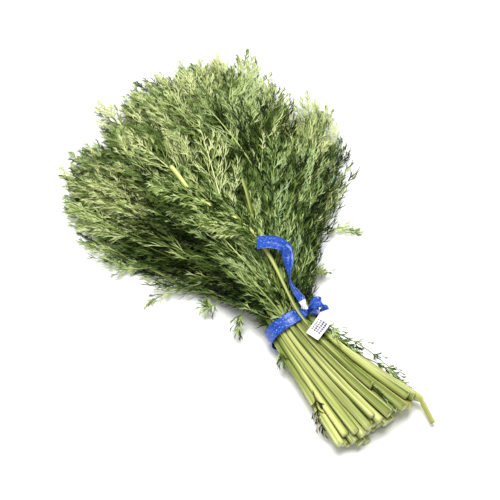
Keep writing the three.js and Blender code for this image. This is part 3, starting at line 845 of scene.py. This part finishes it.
# A centripetal spline: between two stops the knots are spaced by the square roots of the distances,
# and the point is found by blending straight lines three times.
def spline(stops, perStop):
    ends = np.concatenate([2 * stops[:1] - stops[1:2], stops, 2 * stops[-1:] - stops[-2:-1]])
    p = [ends[i:len(ends) - 3 + i, None] for i in range(4)]
    k = [np.zeros((len(p[0]), 1, 1))]
    for a, b in zip(p, p[1:]):
        k.append(k[-1] + np.sqrt(np.linalg.norm((b - a)[..., :3], axis=-1, keepdims=True)))
    t = k[1] + (k[2] - k[1]) * (np.arange(perStop) / perStop)[None, :, None]

    def blend(a, b, ka, kb):
        return ((kb - t) * a + (t - ka) * b) / (kb - ka)

    low = [blend(p[i], p[i + 1], k[i], k[i + 1]) for i in range(3)]
    mid = [blend(low[i], low[i + 1], k[i], k[i + 2]) for i in range(2)]
    line = blend(mid[0], mid[1], k[1], k[2]).reshape(-1, stops.shape[1])
    return np.concatenate([line, stops[-1:]])


# The ribbon is two faces on one grid, along its spline and across its width, joined round the edge.
# Its middle height is a sine pleat where it is bunched plus six drawn waves, and a bell-shaped ridge
# stands over the wire.
def ribbonShape():
    stops = ribbonStops()
    look = ribbonLook
    line = spline(stops, look["perStop"])
    n = len(line)
    at = line[:, :3]
    along = unit(np.gradient(at, axis=0))
    share = np.clip(np.arange(n) / look["perStop"], 0, len(stops) - 1.001)
    low = share.astype(int)
    mix = (share - low)[:, None]
    wanted = stops[low, 3:] * (1 - mix) + stops[low + 1, 3:] * mix
    across = unit(wanted[:, :3] - (wanted[:, :3] * along).sum(1, keepdims=True) * along)
    face = np.cross(along, across)
    wide = wanted[:, 3]
    a = np.linspace(-1, 1, look["across"])
    bunched = 1 - wide[:, None] / bunch["ribbonWidth"]
    bulge = look["wireRidge"] * np.exp(-(a / look["wireWidth"]) ** 2)[None] * np.ones((n, 1))
    fold = look["pleats"] * bunched * np.sin(2.5 * np.pi * a)[None]
    rng = np.random.default_rng(77)
    row = np.arange(n)[:, None]
    wave = sum(rng.uniform(0.3, 1) * np.sin(row * rng.uniform(0.15, 0.55) + a[None] * rng.uniform(-3, 3)
                                            + rng.uniform(0, 6)) for i in range(6))
    middle = fold + look["crinkle"] * wave * 0.5
    spot = at[:, None] + (a * wide[:, None] / 2)[..., None] * across[:, None]
    upper = spot + (middle + look["thick"] / 2 + bulge)[..., None] * face[:, None]
    lower = spot + (middle - look["thick"] / 2 - 0.6 * bulge)[..., None] * face[:, None]
    m = look["across"]
    points = np.concatenate([upper.reshape(-1, 3), lower.reshape(-1, 3)])
    half = n * m

    def patch(u0, u1, v0, v1):   # the UVs at the corners of each face in a row
        corners = [(u0, v0), (u1, v0), (u1, v1), (u0, v1)]
        return np.stack([np.stack(np.broadcast_arrays(*corner), -1) for corner in corners], 1)

    i, j = (g.ravel() for g in np.meshgrid(np.arange(n - 1), np.arange(m - 1), indexing="ij"))
    low, high = i * m + j, (i + 1) * m + j
    quad = np.stack([low, high, high + 1, low + 1], -1)
    uv = patch(i / (n - 1), (i + 1) / (n - 1), 0.02 + 0.46 * j / (m - 1), 0.02 + 0.46 * (j + 1) / (m - 1))
    faces = [(quad, uv), (quad[:, ::-1] + half, uv[:, ::-1] + np.array([0, 0.5]))]
    k = np.arange(n - 1)
    for edge, flip in ((0, False), (m - 1, True)):
        low, high = k * m + edge, (k + 1) * m + edge
        side = np.stack([low, low + half, high + half, high], -1)
        v = 0.485 if edge else 0.005
        sideUv = patch(k / (n - 1), (k + 1) / (n - 1), v, v + 0.01)[:, [0, 3, 2, 1]]
        faces.append((side[:, ::-1], sideUv[:, ::-1]) if flip else (side, sideUv))
    k = np.arange(m - 1)
    for end, flip in ((0, True), (n - 1, False)):
        low = end * m + k
        side = np.stack([low, low + half, low + 1 + half, low + 1], -1)
        u = 0.998 if end else 0.001
        v = 0.02 + 0.46 * k / (m - 1)
        sideUv = patch(u, u + 0.001, v, v + 0.46 / (m - 1))
        faces.append((side[:, ::-1], sideUv[:, ::-1]) if flip else (side, sideUv))
    return points, faces


# Blue film with small pale flecks, and white parts with a grid of dots on the label.
def makeRibbonMaterial():
    make = Nodes("printedRibbon")
    look = ribbonLook
    uv = make.add("ShaderNodeUVMap", uv_map="OFBake").outputs[0]
    split = make.add("ShaderNodeSeparateXYZ", {0: uv})
    u = split.outputs[0]
    v = make.math("FRACT", make.math("MULTIPLY", split.outputs[1], 2.0))
    length = make.math("MULTIPLY", u, look["length"])   # in millimetres, as the width is
    width = make.math("MULTIPLY", v, bunch["ribbonWidth"])
    onFilm = make.add("ShaderNodeCombineXYZ", {0: length, 1: width}).outputs[0]
    wear = make.add("ShaderNodeTexNoise", {0: onFilm, "Scale": 0.5, "Detail": 3.0})
    blue = make.ramp(wear.outputs[0], [(0.35, look["deepBlue"]), (0.65, look["blue"])])
    dash = make.add("ShaderNodeMapping", {0: onFilm, 3: (0.42, 1.1, 1.0)})
    flecks = make.add("ShaderNodeTexVoronoi", {0: dash.outputs[0], "Scale": 1.0, "Randomness": 0.55})
    isFleck = make.math("LESS_THAN", flecks.outputs[0], look["fleckSize"])
    inner = make.math("LESS_THAN", make.math("ABSOLUTE", make.math("SUBTRACT", v, 0.5)), look["inner"])
    color = make.mix(make.math("MULTIPLY", isFleck, inner), blue, (*look["mark"], 1))
    dots = make.add("ShaderNodeTexVoronoi", {0: onFilm, "Scale": 0.42, "Randomness": 0.0})
    isDot = make.math("LESS_THAN", dots.outputs[0], look["dotSize"])
    label = make.between(length, *look["label"])
    isDot = make.math("MULTIPLY", make.math("MULTIPLY", isDot, label), inner)
    white = make.mix(isDot, (*look["white"], 1), (*look["dark"], 1))
    for low, high in look["whiteParts"]:
        color = make.mix(make.between(u, low - 0.001, high), color, white)
    make.put(make.shader, "Base Color", color)
    make.put(make.shader, "Roughness", look["rough"])
    make.put(make.shader, "Specular IOR Level", 0.5)
    return make.material


makePiece("produceRibbon", ribbonShape(), makeRibbonMaterial(), ["tie_ribbon"])
print("ribbon tied")


studio = {
    "azimuth": -29.0, "elevation": 60.0, "distance": 2.4, "across": 0.44, "aim": (9.8, 95.7, 0.0),
    "world": 0.56, "key": 45.0, "keySize": 0.9, "keyAt": (-0.05, 0.05, 1.8),
    "floor": (0.93, 0.93, 0.93), "floorRough": 0.85, "floorFar": 6.0,
}


# A square floor, one soft lamp and a camera on a sphere round its aim, whose lens is its sensor times
# the distance over the width it takes in.
def makeStudio():
    mesh = bpy.data.meshes.new("floor")
    far = studio["floorFar"]
    mesh.from_pydata([(-far, -far, 0), (far, -far, 0), (far, far, 0), (-far, far, 0)], [], [(0, 1, 2, 3)])
    floor = bpy.data.objects.new("floor", mesh)
    make = Nodes("floorWhite")
    make.put(make.shader, "Base Color", (*studio["floor"], 1))
    make.put(make.shader, "Roughness", studio["floorRough"])
    mesh.materials.append(make.material)
    bpy.context.scene.collection.objects.link(floor)
    azimuth = math.radians(studio["azimuth"])
    elevation = math.radians(studio["elevation"])
    back = np.array([math.sin(azimuth) * math.cos(elevation), -math.cos(azimuth) * math.cos(elevation),
                     math.sin(elevation)])
    target = (np.array(studio["aim"]) + tie) / 1000
    camera = bpy.data.objects.new("camera", bpy.data.cameras.new("camera"))
    camera.data.sensor_width = 36
    camera.data.lens = camera.data.sensor_width * studio["distance"] / studio["across"]
    camera.data.clip_end = 50
    camera.location = target + back * studio["distance"]
    camera.rotation_euler = Vector(-back).to_track_quat("-Z", "Y").to_euler()
    bpy.context.scene.collection.objects.link(camera)
    bpy.context.scene.camera = camera
    key = bpy.data.objects.new("key", bpy.data.lights.new("key", "AREA"))
    key.data.energy = studio["key"]
    key.data.size = studio["keySize"]
    key.location = studio["keyAt"]
    key.rotation_euler = (-Vector(key.location)).to_track_quat("-Z", "Y").to_euler()
    bpy.context.scene.collection.objects.link(key)
    world = bpy.data.worlds.new("studio")
    world.use_nodes = True
    background = world.node_tree.nodes["Background"]
    background.inputs[0].default_value = (1, 1, 1, 1)
    background.inputs[1].default_value = studio["world"]
    bpy.context.scene.world = world
    bpy.context.scene.view_settings.view_transform = "Standard"


makeStudio()
